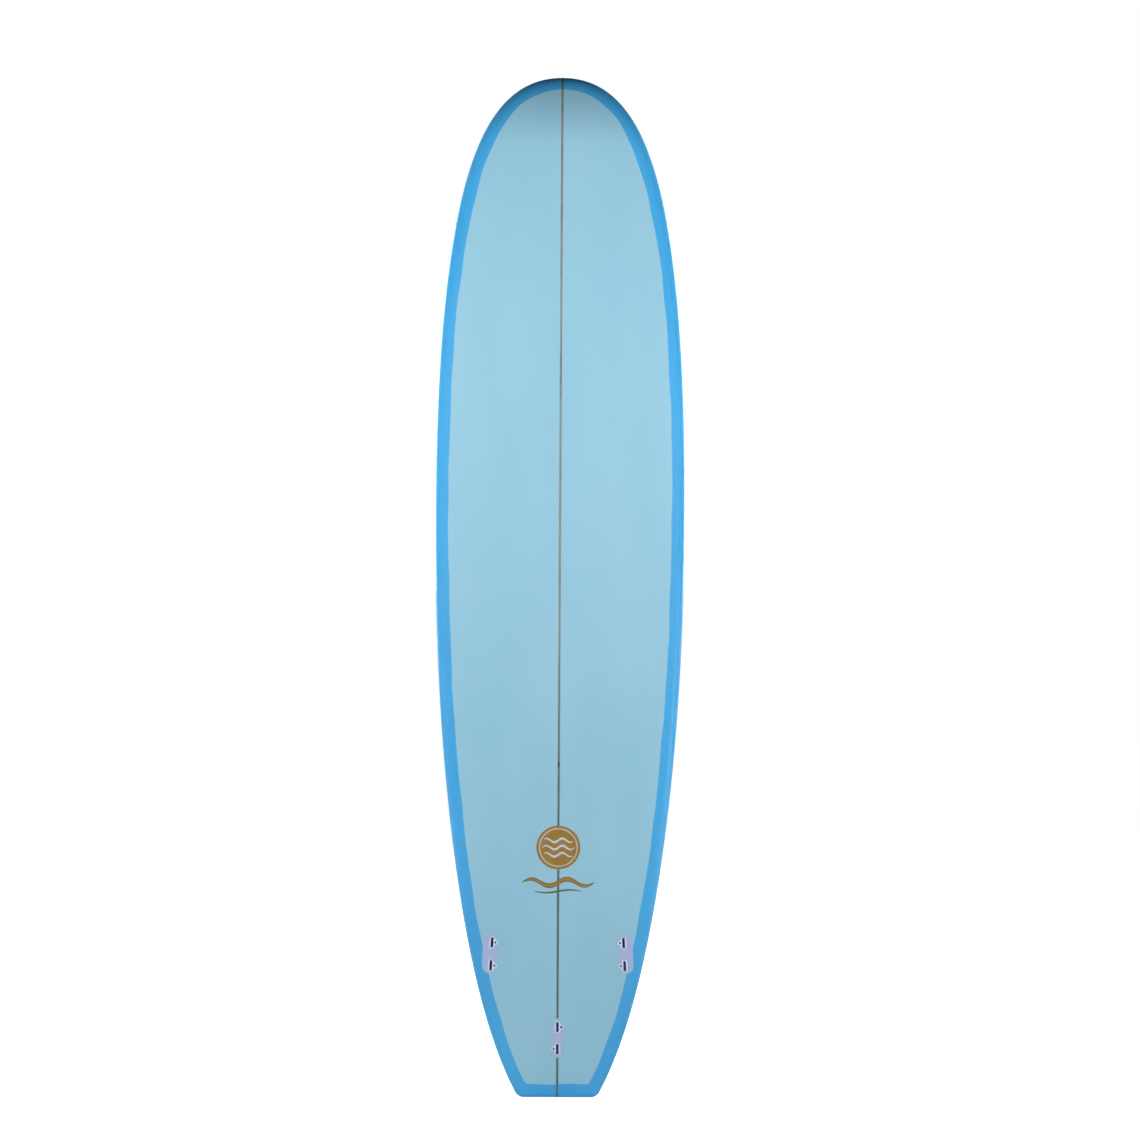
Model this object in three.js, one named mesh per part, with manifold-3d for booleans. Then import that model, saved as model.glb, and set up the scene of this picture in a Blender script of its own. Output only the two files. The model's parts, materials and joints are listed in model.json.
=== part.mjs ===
// An eight-foot surfboard without fins: two foam halves glued to a wooden stringer, a glass skin in two
// pieces, six fin plugs with their clamping screws, and a leash plug in the deck.
// Millimetres. The board stands on its tail, +z to the nose, bottom facing -y, deck facing +y.
import * as THREE from "three";
import { mergeVertices } from "three/addons/utils/BufferGeometryUtils.js";
import Module from "manifold-3d";

const wasm = await Module();
wasm.setup();

// Outline, seen from the bottom: half of it is two Bezier curves that meet at the widest point.
const LENGTH = 2438.4;
const HALF_WIDTH = 296;
const WIDE_Z = 1415;
const NOSE_FULLNESS = 189;
const NOSE_REACH = 759;
const TAIL_HALF = 93.6;
const TAIL_FLARE = 142;
const TAIL_RISE = 254;
const TAIL_REACH = 569;
const CORNER_R = 22;

// Side view: rocker of the bottom's centreline, and thickness on the centreline and at the rail.
const FLAT_Z = 1120;
const NOSE_ROCKER = { rise: 95, power: 2.6 };
const NOSE_KICK = { rise: 35, reach: 170 };
const TAIL_ROCKER = { rise: 62, power: 2.2 };
const THICK_Z = 1300;
const FOIL_POWER = { nose: 2.6, tail: 2.4 };
const THICK = { middle: 76, nose: 21, tail: 19 };
const RAIL = { middle: 50, nose: 21, tail: 19 };
const ROLL = 3;
// Share of the rail below its outermost line, and the rail curve's width over its height on each side.
const UNDER_SHARE = 0.42;
const UNDER_WIDTH = { middle: 1.2, nose: 3, tail: 1.2 };
const OVER_WIDTH = 1.55;

// Build-up of the skin and the gap that every pair of touching pieces keeps.
const GAP = 0.3;
const LAMINATE = 1.2;
const STRINGER = 4.8;
const LAP = 32.5;
const INNER_RING = 46;
const INNER_CORNER_R = 6;

// Fin plugs: a capsule with a lobe on one side for the screw.
const PLUG = { length: 30.5, width: 14.5, depth: 16, lobeX: 9.3, lobeR: 5.5 };
const SLOT = { length: 24.2, width: 6.2, depth: 13.5, corner: 1.5 };
const SCREW = { r: 2.3, length: 8.4, point: 1.2, bevel: 0.3, sink: 1.75, tilt: Math.PI / 6 };
const SOCKET = { across: 2.4, depth: 2.5 };
const BORE_R = SCREW.r + GAP;
// How far the screw's bore runs on past the screw at both ends.
const BORE_SPARE = 4;
const PATCH = { radius: 21, half: 48 };
const SIDE_PLUG = { frontX: 155.5, rearX: 158.5, frontZ: 373.5, rearZ: 318.5 };
const CENTRE_PLUG = { frontZ: 171, rearZ: 118 };
const TOE_IN = Math.atan2(SIDE_PLUG.rearX - SIDE_PLUG.frontX, SIDE_PLUG.frontZ - SIDE_PLUG.rearZ);

// Leash plug, a cup with a cross bar, in the deck beside the stringer.
const LEASH = { x: 30, z: 86, r: 15, depth: 16, cupR: 11.5, cupDepth: 13, barR: 1.75, barDepth: 5 };

// Decals let into the bottom's skin.
const BADGE = { z: 600, r: 52 };
const WAVE = { z: 517, half: 85, height: 9, swing: 9, blunt: 1.02 };
const DECAL = 0.45;
const DECAL_POCKET = 0.8;

// How far a cutting tool stands out of the surface that it cuts.
const CLEAR = 8;

// Steps round half of the outline; the nose curve's last part, below TIP_T, has its own.
const STEPS = { edge: 2, corner: 4, tail: 10, nose: 9, tip: 4 };
const TIP_T = 0.2;
const TAIL_SPACING = 1.35;

const COLOUR = {
  panel: 0x9bc5db,
  lap: 0x4fa9de,
  foam: 0xf4f1e6,
  wood: 0x8b7a5e,
  plug: 0xc5d4f3,
  patch: 0xa0acd0,
  screw: 0x3c4250,
  cup: 0xe9ebee,
  bar: 0xb9bcc2,
  gold: 0xa57d3c,
};

// ---- Outline --------------------------------------------------------------------------------------

const noseCurve = new THREE.CubicBezierCurve(
  new THREE.Vector2(0, LENGTH),
  new THREE.Vector2(NOSE_FULLNESS, LENGTH),
  new THREE.Vector2(HALF_WIDTH, WIDE_Z + NOSE_REACH),
  new THREE.Vector2(HALF_WIDTH, WIDE_Z),
);
const tailCurve = new THREE.CubicBezierCurve(
  new THREE.Vector2(TAIL_HALF, 0),
  new THREE.Vector2(TAIL_HALF + TAIL_FLARE, TAIL_RISE),
  new THREE.Vector2(HALF_WIDTH, WIDE_Z - TAIL_REACH),
  new THREE.Vector2(HALF_WIDTH, WIDE_Z),
);
const flare = new THREE.Vector2(TAIL_FLARE, TAIL_RISE).normalize();
const cornerTurn = Math.acos(flare.x);
const cornerK = Math.tan(cornerTurn / 2);

// A point of a curve moved inwards by inset, at right angles to the curve.
function insetPoint(curve, t, inset, side) {
  const p = curve.getPoint(t);
  const d = curve.getTangent(t).multiplyScalar(side);
  return new THREE.Vector2(p.x - inset * d.y, p.y + inset * d.x);
}

// The right half of the outline, from the middle of the tail round to the nose tip.
function halfRing(inset, cornerR) {
  const ring = [];
  const flat = TAIL_HALF - (inset + cornerR) * cornerK;
  for (let i = 0; i < STEPS.edge; i++) ring.push(new THREE.Vector2((flat * i) / STEPS.edge, inset));
  for (let i = 0; i <= STEPS.corner; i++) {
    const a = -Math.PI / 2 + (cornerTurn * i) / STEPS.corner;
    ring.push(new THREE.Vector2(flat + cornerR * Math.cos(a), inset + cornerR * (1 + Math.sin(a))));
  }
  for (let i = 1; i <= STEPS.tail; i++)
    ring.push(insetPoint(tailCurve, (i / STEPS.tail) ** TAIL_SPACING, inset, 1));
  for (let i = 1; i <= STEPS.nose; i++)
    ring.push(insetPoint(noseCurve, 1 - ((1 - TIP_T) * i) / STEPS.nose, inset, -1));
  for (let i = 1; i <= STEPS.tip; i++)
    ring.push(insetPoint(noseCurve, TIP_T * (1 - i / STEPS.tip), inset, -1));
  return ring;
}
const outer = halfRing(0, CORNER_R);
const inner = halfRing(INNER_RING, INNER_CORNER_R);
const HALF = outer.length - 1;

// A fine outline, for the distance of any point from the edge of the board.
function fineOutline() {
  const points = [new THREE.Vector2(0, 0)];
  const flat = TAIL_HALF - CORNER_R * cornerK;
  for (let i = 0; i <= 8; i++) {
    const a = -Math.PI / 2 + (cornerTurn * i) / 8;
    points.push(new THREE.Vector2(flat + CORNER_R * Math.cos(a), CORNER_R * (1 + Math.sin(a))));
  }
  for (let i = 4; i <= 100; i++) points.push(tailCurve.getPoint(i / 100));
  for (let i = 1; i <= 120; i++) points.push(noseCurve.getPoint(1 - i / 120));
  return points;
}
const edgeLine = fineOutline();

function edgeDistance(x, z) {
  const p = new THREE.Vector2(Math.abs(x), z);
  let best = Infinity;
  for (let i = 1; i < edgeLine.length; i++) {
    const a = edgeLine[i - 1];
    const ab = edgeLine[i].clone().sub(a);
    const ap = p.clone().sub(a);
    const s = THREE.MathUtils.clamp(ap.dot(ab) / ab.lengthSq(), 0, 1);
    best = Math.min(best, ap.addScaledVector(ab, -s).length());
  }
  return best;
}

// The half width at height z.
function halfWidth(z) {
  for (let i = 1; i < edgeLine.length; i++) {
    const a = edgeLine[i - 1];
    const b = edgeLine[i];
    if (z <= b.y && b.y > a.y) return THREE.MathUtils.lerp(a.x, b.x, (z - a.y) / (b.y - a.y));
  }
  return 0;
}

// ---- Surface --------------------------------------------------------------------------------------

function rocker(z) {
  if (z < FLAT_Z) return TAIL_ROCKER.rise * ((FLAT_Z - z) / FLAT_Z) ** TAIL_ROCKER.power;
  const kick = NOSE_KICK.rise * Math.max(0, 1 - (LENGTH - z) / NOSE_KICK.reach) ** 2;
  return NOSE_ROCKER.rise * ((z - FLAT_Z) / (LENGTH - FLAT_Z)) ** NOSE_ROCKER.power + kick;
}

// A thickness that is largest at THICK_Z and runs down to the nose and the tail.
function foil(size, z) {
  const end = z > THICK_Z ? "nose" : "tail";
  const share = z > THICK_Z ? (z - THICK_Z) / (LENGTH - THICK_Z) : (THICK_Z - z) / THICK_Z;
  return size.middle - (size.middle - size[end]) * share ** FOIL_POWER[end];
}

// Height and width of the rail's curve below (bottom) and above (deck) its outermost line.
function railSize(z, deck) {
  const rail = foil(RAIL, z);
  const height = rail * (deck ? 1 - UNDER_SHARE : UNDER_SHARE);
  return { height, width: height * (deck ? OVER_WIDTH : foil(UNDER_WIDTH, z)) };
}

function quarterRound(s) {
  return Math.sqrt(1 - (1 - Math.min(s, 1)) ** 2);
}

function railLine(x, z) {
  return rocker(z) + ROLL * (x / HALF_WIDTH) ** 2 + railSize(z, false).height;
}

// The board's surface at (x, z), on the deck or on the bottom; edge is the distance from the outline.
function surfaceY(x, z, deck, edge = edgeDistance(x, z)) {
  const rail = railSize(z, deck);
  const rise = rail.height * quarterRound(edge / rail.width);
  if (!deck) return railLine(x, z) - rise;
  const h = halfWidth(z);
  const crown = h > 0 ? Math.max(0, 1 - (x / h) ** 2) : 0;
  return railLine(x, z) + rise + (foil(THICK, z) - foil(RAIL, z)) * crown;
}

// ---- Meshes of the board's surface ----------------------------------------------------------------

// The closed surface of the board as points and faces. Each face says whether it lies on the bottom
// inside the lap line, which is where the two laminates part. With lapLine, two rings mark that line.
function boardSurface(lapLine) {
  const points = [];
  const faces = [];
  const add = (p, deck, edge) => {
    points.push(new THREE.Vector3(p.x, surfaceY(p.x, p.y, deck, edge), p.y));
    return points.length - 1;
  };
  const along = (i, inset) => outer[i].clone().lerp(inner[i], inset / INNER_RING);
  const ring = (insetAt, deck) => {
    const loop = [];
    for (let k = 0; k < 2 * HALF; k++) {
      const i = k <= HALF ? k : 2 * HALF - k;
      const inset = insetAt(outer[i].y);
      const p = along(i, inset);
      if (k > HALF) p.x = -p.x;
      if (i === HALF || i === 0) p.x = 0;
      loop.push(add(p, deck, inset === 0 ? 0 : undefined));
    }
    return loop;
  };
  const quad = (a, b, c, d, deck, panel) => {
    for (const t of [[a, b, c], [a, c, d]]) {
      if (deck) t.reverse();
      faces.push({ t, panel });
    }
  };
  const band = (lower, upper, deck, panel) => {
    for (let k = 0; k < lower.length; k++) {
      const n = (k + 1) % lower.length;
      quad(lower[k], lower[n], upper[n], upper[k], deck, panel);
    }
  };
  // A patch stretched over the innermost ring, in rows across the board.
  const middle = (loop, deck) => {
    const M = STEPS.edge + STEPS.corner / 2;
    const rows = HALF - 2 * M;
    const at = (i) => points[loop[(i + 2 * HALF) % (2 * HALF)]];
    const z0 = at(M).z;
    const z1 = at(M + rows).z;
    const grid = [];
    for (let j = 0; j <= rows; j++) {
      const v = (at(M + j).z - z0) / (z1 - z0);
      const row = [];
      for (let c = -M; c <= M; c++) {
        if (j === 0) row.push(loop[(c + 2 * HALF) % (2 * HALF)]);
        else if (j === rows) row.push(loop[(HALF - c) % (2 * HALF)]);
        else if (c === M) row.push(loop[M + j]);
        else if (c === -M) row.push(loop[2 * HALF - M - j]);
        else {
          const u = c / M;
          const tail = at(c);
          const nose = at(HALF - c);
          const side = at(M + j);
          const bend = (1 - v) * (tail.x - u * at(M).x) + v * (nose.x - u * at(M + rows).x);
          const z = side.z + (1 - v) * (tail.z - z0) + v * (nose.z - z1);
          row.push(add(new THREE.Vector2(c === 0 ? 0 : bend + u * side.x, z), deck));
        }
      }
      grid.push(row);
    }
    for (let j = 0; j < rows; j++)
      for (let c = 0; c < 2 * M; c++)
        quad(grid[j][c], grid[j][c + 1], grid[j + 1][c + 1], grid[j + 1][c], deck, !deck);
  };

  const apex = ring(() => 0, false);
  for (const deck of [false, true]) {
    const turns = deck ? [0.25, 0.5, 0.75, 1] : [1 / 3, 2 / 3, 1];
    let last = apex;
    for (const turn of turns) {
      const share = 1 - Math.cos((turn * Math.PI) / 2);
      const next = ring((z) => share * railSize(z, deck).width, deck);
      band(last, next, deck, false);
      last = next;
    }
    if (!deck && lapLine) {
      const lap = ring(() => LAP, deck);
      band(last, lap, deck, false);
      last = ring(() => LAP + GAP, deck);
    }
    const innermost = ring(() => INNER_RING, deck);
    band(last, innermost, deck, !deck && lapLine);
    middle(innermost, deck);
  }
  return { points, faces };
}

// The surface with each point moved in along its normal.
function sunk(surface, depth, normals) {
  return surface.points.map((p, i) => p.clone().addScaledVector(normals[i], -depth));
}

function pointNormals(points, faces) {
  const normals = points.map(() => new THREE.Vector3());
  for (const { t } of faces) {
    const [a, b, c] = t.map((i) => points[i]);
    for (const [i, p, q, r] of [[0, a, b, c], [1, b, c, a], [2, c, a, b]]) {
      const e1 = q.clone().sub(p);
      const e2 = r.clone().sub(p);
      const angle = e1.angleTo(e2);
      const n = e1.cross(e2).normalize();
      if (Number.isFinite(angle)) normals[t[i]].addScaledVector(n, angle);
    }
  }
  return normals.map((n) => n.normalize());
}

function geometryFrom(points, triangles) {
  const g = new THREE.BufferGeometry();
  g.setAttribute("position", new THREE.Float32BufferAttribute(points.flatMap((p) => [p.x, p.y, p.z]), 3));
  g.setIndex(triangles.flat());
  return g;
}

// A sheet of the given thickness under the chosen faces, closed round its edge.
function thickened(points, below, faces) {
  const used = new Map();
  const top = [];
  const triangles = [];
  const index = (i) => {
    if (!used.has(i)) {
      used.set(i, top.length);
      top.push(i);
    }
    return used.get(i);
  };
  const kept = faces.map(({ t }) => t.map(index));
  const n = top.length;
  const edges = new Map();
  for (const t of kept) {
    triangles.push(t, [t[0] + n, t[2] + n, t[1] + n]);
    t.forEach((a, k) => edges.set(a + "," + t[(k + 1) % 3], [a, t[(k + 1) % 3]]));
  }
  for (const [a, b] of edges.values())
    if (!edges.has(b + "," + a)) triangles.push([b, a, a + n], [b, a + n, b + n]);
  const all = [...top.map((i) => points[i]), ...top.map((i) => below[i])];
  return geometryFrom(all, triangles);
}

// ---- Solids ---------------------------------------------------------------------------------------

function solid(geometry) {
  const g = geometry.clone();
  g.deleteAttribute("normal");
  g.deleteAttribute("uv");
  const merged = mergeVertices(g, 1e-4);
  return new wasm.Manifold(
    new wasm.Mesh({
      numProp: 3,
      vertProperties: new Float32Array(merged.attributes.position.array),
      triVerts: new Uint32Array(merged.index.array),
    }),
  );
}

function geometry(made) {
  const mesh = made.getMesh();
  const g = new THREE.BufferGeometry();
  g.setAttribute("position", new THREE.BufferAttribute(new Float32Array(mesh.vertProperties), 3));
  g.setIndex(new THREE.BufferAttribute(new Uint32Array(mesh.triVerts), 1));
  return g;
}

function cut(base, ...tools) {
  return tools.reduce((rest, tool) => rest.subtract(tool), base);
}

// A prism of an outline, from z = bottom to z = top.
function prism(shape, bottom, top, curveSegments = 6) {
  const g = new THREE.ExtrudeGeometry(shape, { depth: top - bottom, bevelEnabled: false, curveSegments });
  return g.translate(0, 0, bottom);
}

// A frame on the surface at (x, z): z outwards, y towards the nose and turned by toe, x to the right.
function surfaceFrame(x, z, deck, toe = 0) {
  const d = 1;
  const fx = (surfaceY(x + d, z, deck) - surfaceY(x - d, z, deck)) / (2 * d);
  const fz = (surfaceY(x, z + d, deck) - surfaceY(x, z - d, deck)) / (2 * d);
  const out = new THREE.Vector3(fx, -1, fz).normalize().multiplyScalar(deck ? -1 : 1);
  const dx = Math.sin(toe);
  const dz = Math.cos(toe);
  const up = new THREE.Vector3(dx, fx * dx + fz * dz, dz).normalize();
  const right = up.clone().cross(out);
  return new THREE.Matrix4()
    .makeBasis(right, up, out)
    .setPosition(x, surfaceY(x, z, deck), z);
}

const group = new THREE.Group();
const board = new THREE.Group();
group.add(board);

function add(name, geom, colour, finish, frame) {
  const g = geom.index ? geom.toNonIndexed() : geom;
  g.computeVertexNormals();
  const material = new THREE.MeshStandardMaterial({ color: colour, ...finish });
  const mesh = new THREE.Mesh(g, material);
  mesh.name = name;
  if (frame) mesh.applyMatrix4(frame);
  board.add(mesh);
}

// ---- Fin plugs ------------------------------------------------------------------------------------

// The plug's outline, lobe on the side that lobe (1 or -1) says, grown all round by grow.
function plugShape(lobe, grow) {
  const r = PLUG.width / 2 + grow;
  const straight = PLUG.length / 2 - PLUG.width / 2;
  const lobeR = PLUG.lobeR + grow;
  const points = [];
  const arc = (cx, cy, radius, from, to, steps) => {
    for (let i = 0; i <= steps; i++) {
      const a = ((from + ((to - from) * i) / steps) * Math.PI) / 180;
      points.push(new THREE.Vector2(cx + radius * Math.cos(a), cy + radius * Math.sin(a)));
    }
  };
  arc(PLUG.lobeX, 0, lobeR, -60, 60, 6);
  arc(0, straight, r, 0, 180, 8);
  arc(0, -straight, r, 180, 360, 8);
  for (const p of points) p.x *= lobe;
  return new THREE.Shape(points);
}

function slotShape() {
  const x = SLOT.width / 2;
  const y = SLOT.length / 2;
  const c = SLOT.corner;
  const shape = new THREE.Shape();
  shape.moveTo(x, -y + c);
  shape.lineTo(x, y - c);
  shape.quadraticCurveTo(x, y, x - c, y);
  shape.lineTo(c - x, y);
  shape.quadraticCurveTo(-x, y, -x, y - c);
  shape.lineTo(-x, c - y);
  shape.quadraticCurveTo(-x, -y, c - x, -y);
  shape.lineTo(x - c, -y);
  shape.quadraticCurveTo(x, -y, x, c - y);
  return shape;
}

// The screw's frame in the plug: z out along its axis, which runs in from the lobe to the slot.
function screwFrame(lobe) {
  return new THREE.Matrix4()
    .makeRotationY(lobe * SCREW.tilt)
    .setPosition(lobe * PLUG.lobeX, 0, 0);
}

function plugGeometry(lobe) {
  const body = solid(prism(plugShape(lobe, 0), -PLUG.depth, 0));
  const slot = solid(prism(slotShape(), -SLOT.depth, 1, 2));
  const inner = SCREW.sink + SCREW.length + BORE_SPARE;
  const bore = new THREE.CylinderGeometry(BORE_R, BORE_R, inner + BORE_SPARE, 16)
    .rotateX(Math.PI / 2)
    .translate(0, 0, (BORE_SPARE - inner) / 2)
    .applyMatrix4(screwFrame(lobe));
  return geometry(cut(body, slot, solid(bore)));
}

function screwGeometry() {
  const { r, length, point, bevel } = SCREW;
  const profile = [
    [0, -length],
    [point, -length],
    [r, r - point - length],
    [r, -bevel],
    [r - bevel, 0],
    [0, 0],
  ].map(([x, y]) => new THREE.Vector2(x, y));
  const body = new THREE.LatheGeometry(profile, 12).rotateX(Math.PI / 2);
  const hexR = SOCKET.across / Math.sqrt(3);
  const hex = new THREE.CylinderGeometry(hexR, hexR, 2 * SOCKET.depth, 6).rotateX(Math.PI / 2);
  return geometry(cut(solid(body), solid(hex)));
}

const plugs = [
  { name: "left_front", x: -SIDE_PLUG.frontX, z: SIDE_PLUG.frontZ, toe: TOE_IN, lobe: 1 },
  { name: "left_rear", x: -SIDE_PLUG.rearX, z: SIDE_PLUG.rearZ, toe: TOE_IN, lobe: 1 },
  { name: "right_front", x: SIDE_PLUG.frontX, z: SIDE_PLUG.frontZ, toe: -TOE_IN, lobe: -1 },
  { name: "right_rear", x: SIDE_PLUG.rearX, z: SIDE_PLUG.rearZ, toe: -TOE_IN, lobe: -1 },
  { name: "centre_front", x: 0, z: CENTRE_PLUG.frontZ, toe: 0, lobe: 1 },
  { name: "centre_rear", x: 0, z: CENTRE_PLUG.rearZ, toe: 0, lobe: -1 },
];
for (const plug of plugs) {
  plug.frame = surfaceFrame(plug.x, plug.z, false, plug.toe);
  plug.hole = solid(
    prism(plugShape(plug.lobe, GAP), -PLUG.depth - GAP, CLEAR).applyMatrix4(plug.frame),
  );
}

// ---- Plug patches, flush in the bottom's skin -----------------------------------------------------

function stadium(radius, half) {
  const shape = new THREE.Shape();
  const straight = half - PATCH.radius;
  shape.absarc(0, straight, radius, 0, Math.PI, false);
  shape.absarc(0, -straight, radius, Math.PI, 2 * Math.PI, false);
  return shape;
}

const patches = [
  { name: "left_plug_patch", front: plugs[0], rear: plugs[1] },
  { name: "right_plug_patch", front: plugs[2], rear: plugs[3] },
  { name: "centre_plug_patch", front: plugs[4], rear: plugs[5] },
];
for (const patch of patches) {
  const { front, rear } = patch;
  patch.frame = surfaceFrame((front.x + rear.x) / 2, (front.z + rear.z) / 2, false, front.toe);
  const outline = stadium(PATCH.radius, PATCH.half);
  patch.solid = cut(
    solid(prism(outline, -LAMINATE, 0, 8).applyMatrix4(patch.frame)),
    front.hole,
    rear.hole,
  );
  const grown = stadium(PATCH.radius + GAP, PATCH.half);
  patch.hole = solid(prism(grown, -LAMINATE - GAP, CLEAR, 8).applyMatrix4(patch.frame));
}

// ---- Leash plug -----------------------------------------------------------------------------------

const leashFrame = surfaceFrame(LEASH.x, LEASH.z, true);
const leashBody = new THREE.CylinderGeometry(LEASH.r, LEASH.r, LEASH.depth, 24)
  .rotateX(Math.PI / 2)
  .translate(0, 0, -LEASH.depth / 2);
const leashInside = new THREE.CylinderGeometry(LEASH.cupR, LEASH.cupR, LEASH.cupDepth + CLEAR, 24)
  .rotateX(Math.PI / 2)
  .translate(0, 0, (CLEAR - LEASH.cupDepth) / 2);
const crossways = (r, length) =>
  new THREE.CylinderGeometry(r, r, length, 12).rotateZ(Math.PI / 2).translate(0, 0, -LEASH.barDepth);
const barHole = crossways(LEASH.barR + GAP, 2 * (LEASH.r + 1));
const leashBar = crossways(LEASH.barR, 2 * (LEASH.r - 1));
const leashHole = solid(
  new THREE.CylinderGeometry(LEASH.r + GAP, LEASH.r + GAP, LEASH.depth + GAP + CLEAR, 24)
    .rotateX(Math.PI / 2)
    .translate(0, 0, (CLEAR - LEASH.depth - GAP) / 2)
    .applyMatrix4(leashFrame),
);

// ---- Decals ---------------------------------------------------------------------------------------

function discShape(grow) {
  return new THREE.Shape().absarc(0, 0, BADGE.r + grow, 0, 2 * Math.PI);
}

// A stroke that swings once round and is blunt enough at its tips to have no sharp point.
function waveShape(grow) {
  const points = [];
  const steps = 24;
  const line = (i, side) => {
    const s = (2 * i) / steps - 1;
    const half = (WAVE.height / 2) * Math.sqrt(WAVE.blunt - s * s) + grow;
    const x = (WAVE.half + grow) * s;
    points.push(new THREE.Vector2(x, WAVE.swing * Math.sin(2 * Math.PI * s) + side * half));
  };
  for (let i = 0; i <= steps; i++) line(i, -1);
  for (let i = steps; i >= 0; i--) line(i, 1);
  return new THREE.Shape(points);
}

const decals = [
  { name: "badge_decal", z: BADGE.z, shape: discShape },
  { name: "wave_decal", z: WAVE.z, shape: waveShape },
];
for (const decal of decals) {
  decal.frame = surfaceFrame(0, decal.z, false);
  decal.geometry = prism(decal.shape(0), -DECAL, 0, 20);
  decal.pocket = solid(prism(decal.shape(GAP), -DECAL_POCKET, CLEAR, 20).applyMatrix4(decal.frame));
}

// ---- Skin, core and stringer ----------------------------------------------------------------------

const bottomHoles = [...plugs.map((p) => p.hole), ...patches.map((p) => p.hole)];
const pockets = decals.map((d) => d.pocket);
const skin = boardSurface(true);
const skinInside = sunk(skin, LAMINATE, pointNormals(skin.points, skin.faces));
const panel = thickened(skin.points, skinInside, skin.faces.filter((f) => f.panel));
const wrap = thickened(skin.points, skinInside, skin.faces.filter((f) => !f.panel));

const core = boardSurface(false);
const coreInside = sunk(core, LAMINATE + GAP, pointNormals(core.points, core.faces));
const blank = solid(geometryFrom(coreInside, core.faces.map((f) => f.t)));
const coreSolid = cut(blank, ...bottomHoles, leashHole);

// The part of the core from x0 to x1, cut out by a block that is larger than the board every other way.
function coreBetween(x0, x1) {
  const block = new THREE.BoxGeometry(x1 - x0, LENGTH, 2 * LENGTH);
  return geometry(coreSolid.intersect(solid(block.translate((x0 + x1) / 2, 0, LENGTH / 2))));
}
const half = STRINGER / 2;

const gloss = { roughness: 0.18, metalness: 0 };
const foam = { roughness: 0.95, metalness: 0 };
add("bottom_laminate", geometry(cut(solid(panel), ...bottomHoles, ...pockets)), COLOUR.panel, gloss);
add("deck_laminate", geometry(cut(solid(wrap), ...bottomHoles, leashHole)), COLOUR.lap, gloss);
add("foam_core_left", coreBetween(-LENGTH, -half - GAP), COLOUR.foam, foam);
add("foam_core_right", coreBetween(half + GAP, LENGTH), COLOUR.foam, foam);
add("stringer", coreBetween(-half, half), COLOUR.wood, { roughness: 0.7 });

for (const decal of decals)
  add(decal.name, decal.geometry, COLOUR.gold, { roughness: 0.35, metalness: 0.3 }, decal.frame);
for (const patch of patches) add(patch.name, geometry(patch.solid), COLOUR.patch, gloss);
for (const plug of plugs) {
  add(plug.name + "_plug", plugGeometry(plug.lobe), COLOUR.plug, { roughness: 0.35 }, plug.frame);
  const frame = plug.frame.clone().multiply(screwFrame(plug.lobe));
  frame.multiply(new THREE.Matrix4().makeTranslation(0, 0, -SCREW.sink));
  add(plug.name + "_screw", screwGeometry(), COLOUR.screw, { roughness: 0.4, metalness: 0.9 }, frame);
}
add(
  "leash_cup",
  geometry(cut(solid(leashBody), solid(leashInside), solid(barHole))),
  COLOUR.cup,
  { roughness: 0.4 },
  leashFrame,
);
add("leash_bar", leashBar, COLOUR.bar, { roughness: 0.25, metalness: 0.95 }, leashFrame);

// The origin is the middle of the board's box at its lowest end.
const box = new THREE.Box3().setFromObject(board);
const centre = box.getCenter(new THREE.Vector3());
board.position.set(-centre.x, -centre.y, -box.min.z);

export default group;
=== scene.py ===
"""An eight-foot surfboard seen from its bottom: tinted glass skin over foam, wood stringer, fin plugs."""

import json
import math

import bmesh
import bpy
import numpy as np
from mathutils import Matrix, Vector


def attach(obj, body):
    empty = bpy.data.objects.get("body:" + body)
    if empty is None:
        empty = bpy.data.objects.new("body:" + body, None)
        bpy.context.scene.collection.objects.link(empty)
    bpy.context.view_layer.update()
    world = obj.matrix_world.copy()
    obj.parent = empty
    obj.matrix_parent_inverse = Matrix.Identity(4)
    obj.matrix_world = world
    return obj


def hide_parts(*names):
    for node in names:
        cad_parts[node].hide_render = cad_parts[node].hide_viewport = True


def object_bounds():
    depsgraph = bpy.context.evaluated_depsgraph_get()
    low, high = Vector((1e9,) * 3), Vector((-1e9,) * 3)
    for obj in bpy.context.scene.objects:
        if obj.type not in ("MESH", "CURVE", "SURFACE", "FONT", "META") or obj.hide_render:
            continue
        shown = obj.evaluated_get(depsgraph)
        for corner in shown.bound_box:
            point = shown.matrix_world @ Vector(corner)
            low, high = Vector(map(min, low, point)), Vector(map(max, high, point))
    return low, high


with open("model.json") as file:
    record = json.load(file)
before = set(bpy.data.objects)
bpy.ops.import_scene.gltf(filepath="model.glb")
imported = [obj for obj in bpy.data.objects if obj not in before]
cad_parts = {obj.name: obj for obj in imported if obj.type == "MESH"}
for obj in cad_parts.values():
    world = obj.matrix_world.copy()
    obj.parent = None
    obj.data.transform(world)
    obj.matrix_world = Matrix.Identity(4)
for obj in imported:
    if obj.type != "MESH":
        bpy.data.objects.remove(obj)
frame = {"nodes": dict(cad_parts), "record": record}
CAD_LOW, CAD_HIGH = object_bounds()
RECORD = frame["record"]
MM = 0.001

# The board's own dimensions, in metres, as the CAD has them.
LENGTH = CAD_HIGH[2] - CAD_LOW[2]
HALF_WIDTH = (CAD_HIGH[0] - CAD_LOW[0]) / 2
WIDE_Z = 1415 * MM
NOSE_FULLNESS, NOSE_REACH = 189 * MM, 759 * MM
TAIL_HALF, TAIL_FLARE, TAIL_RISE, TAIL_REACH = 93.6 * MM, 142 * MM, 254 * MM, 569 * MM
CORNER_R = 22 * MM
FLAT_Z, NOSE_ROCKER, TAIL_ROCKER = 1120 * MM, 95 * MM, 62 * MM
KICK_RISE, KICK_REACH = 35 * MM, 170 * MM
THICK_Z = 1300 * MM
THICK = {"middle": 76 * MM, "nose": 21 * MM, "tail": 19 * MM}
RAIL = {"middle": 50 * MM, "nose": 21 * MM, "tail": 19 * MM}
ROLL = 3 * MM
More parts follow.
